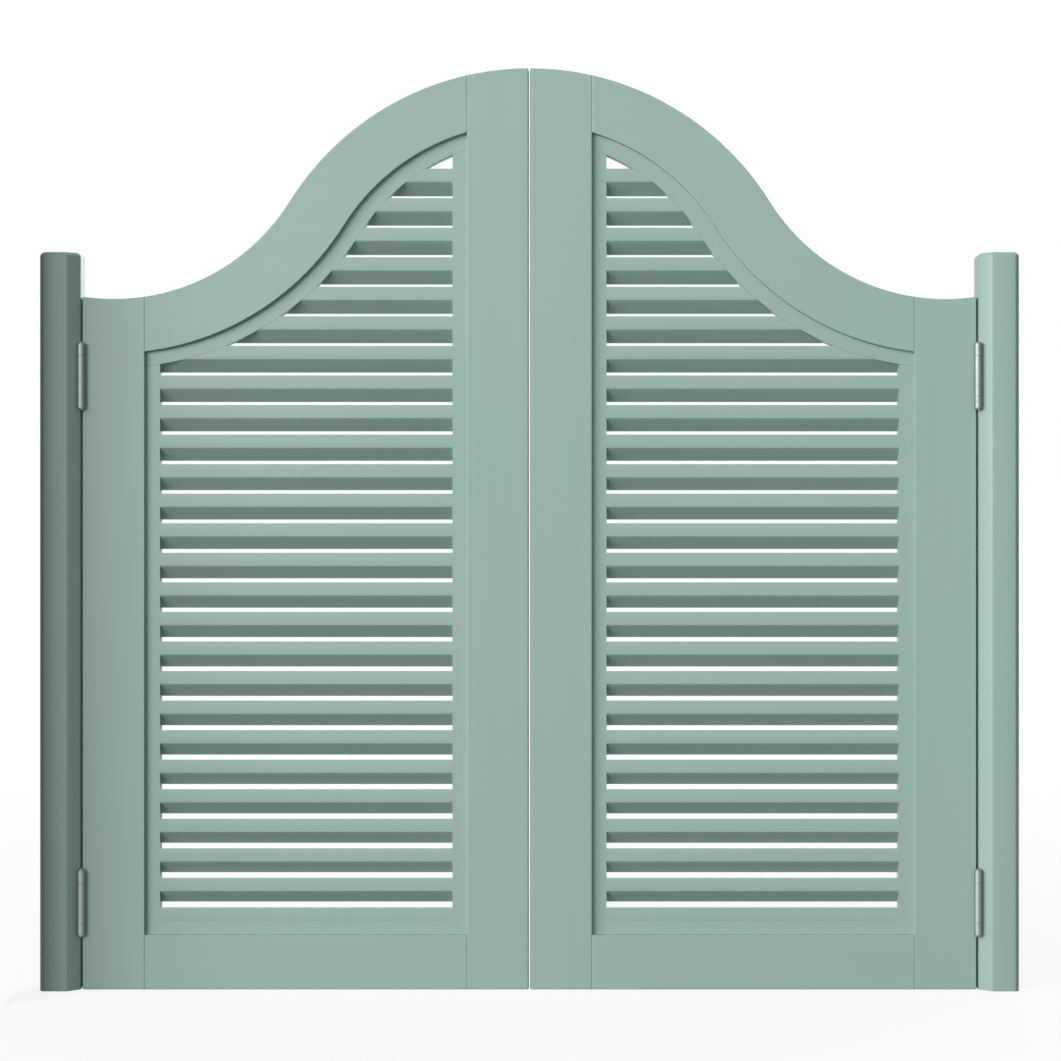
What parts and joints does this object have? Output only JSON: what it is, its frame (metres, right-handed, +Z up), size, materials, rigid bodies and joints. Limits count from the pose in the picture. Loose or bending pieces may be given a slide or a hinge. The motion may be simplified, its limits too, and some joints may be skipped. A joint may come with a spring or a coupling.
{
  "type": "louvered cafe door",
  "caption": "Louvered cafe door leaves with an arched ogee head, hung on double-acting spring hinges between bevelled side posts.",
  "frame": {"origin": "on the floor line, midway between the posts and in the middle of the leaves' thickness", "axes": "+Z up, +X to the viewer's right, -Y towards the viewer, who stands in front of the closed leaves"},
  "size_m": [0.994, 0.05, 0.938],
  "materials": {
    "post_paint": "satin sage green paint",
    "leaf_paint": "satin sage green paint",
    "strip_paint": "satin sage green paint",
    "slat_paint": "satin sage green paint",
    "hinge_steel": "brushed",
    "pin_steel": "turned",
    "spring_steel": "drawn wire",
    "screw_steel": "zinc plated"
  },
  "bodies": {
    "posts": {"left_front_pins": "pin_steel", "left_lower_jamb_plate": "hinge_steel", "left_post": "post_paint", "left_upper_jamb_plate": "hinge_steel", "post_hinge_screws": "screw_steel", "right_lower_jamb_plate": "hinge_steel", "right_post": "post_paint", "right_rear_pins": "pin_steel", "right_upper_jamb_plate": "hinge_steel"},
    "left_link": {"left_front_springs": "spring_steel", "left_lower_link": "hinge_steel", "left_rear_springs": "spring_steel", "left_upper_link": "hinge_steel"},
    "left_leaf": {"left_arch_strip": "strip_paint", "left_bottom_rail": "leaf_paint", "left_bottom_strip": "strip_paint", "left_hinge_stile": "leaf_paint", "left_hinge_strip": "strip_paint", "left_leaf_hinge_screws": "screw_steel", "left_lower_door_plate": "hinge_steel", "left_lower_slats": "slat_paint", "left_meeting_stile": "leaf_paint", "left_meeting_strip": "strip_paint", "left_rear_pins": "pin_steel", "left_top_rail": "leaf_paint", "left_upper_door_plate": "hinge_steel", "left_upper_slat_1": "slat_paint", "left_upper_slat_2": "slat_paint", "left_upper_slat_3": "slat_paint", "left_upper_slat_4": "slat_paint", "left_upper_slat_5": "slat_paint", "left_upper_slat_6": "slat_paint", "left_upper_slat_7": "slat_paint"},
    "right_link": {"right_front_springs": "spring_steel", "right_lower_link": "hinge_steel", "right_rear_springs": "spring_steel", "right_upper_link": "hinge_steel"},
    "right_leaf": {"right_arch_strip": "strip_paint", "right_bottom_rail": "leaf_paint", "right_bottom_strip": "strip_paint", "right_front_pins": "pin_steel", "right_hinge_stile": "leaf_paint", "right_hinge_strip": "strip_paint", "right_leaf_hinge_screws": "screw_steel", "right_lower_door_plate": "hinge_steel", "right_lower_slats": "slat_paint", "right_meeting_stile": "leaf_paint", "right_meeting_strip": "strip_paint", "right_top_rail": "leaf_paint", "right_upper_door_plate": "hinge_steel", "right_upper_slat_1": "slat_paint", "right_upper_slat_2": "slat_paint", "right_upper_slat_3": "slat_paint", "right_upper_slat_4": "slat_paint", "right_upper_slat_5": "slat_paint", "right_upper_slat_6": "slat_paint", "right_upper_slat_7": "slat_paint"}
  },
  "joints": [
    {"name": "left_front_hinge", "type": "hinge", "parent": "posts", "child": "left_link", "pos_m": [-0.4559, -0.0183, 0.357], "axis": [0, 0, -1], "range_deg": [0, 90], "stiffness_Nm_per_rad": 2, "springref_deg": -20.05},
    {"name": "left_rear_hinge", "type": "hinge", "parent": "left_link", "child": "left_leaf", "pos_m": [-0.4559, 0.0183, 0.357], "axis": [0, 0, 1], "range_deg": [0, 90], "stiffness_Nm_per_rad": 2, "springref_deg": -20.05},
    {"name": "right_rear_hinge", "type": "hinge", "parent": "posts", "child": "right_link", "pos_m": [0.4559, 0.0183, 0.357], "axis": [0, 0, -1], "range_deg": [0, 90], "stiffness_Nm_per_rad": 2, "springref_deg": -20.05},
    {"name": "right_front_hinge", "type": "hinge", "parent": "right_link", "child": "right_leaf", "pos_m": [0.4559, -0.0183, 0.357], "axis": [0, 0, 1], "range_deg": [0, 90], "stiffness_Nm_per_rad": 2, "springref_deg": -20.05}
  ]
}
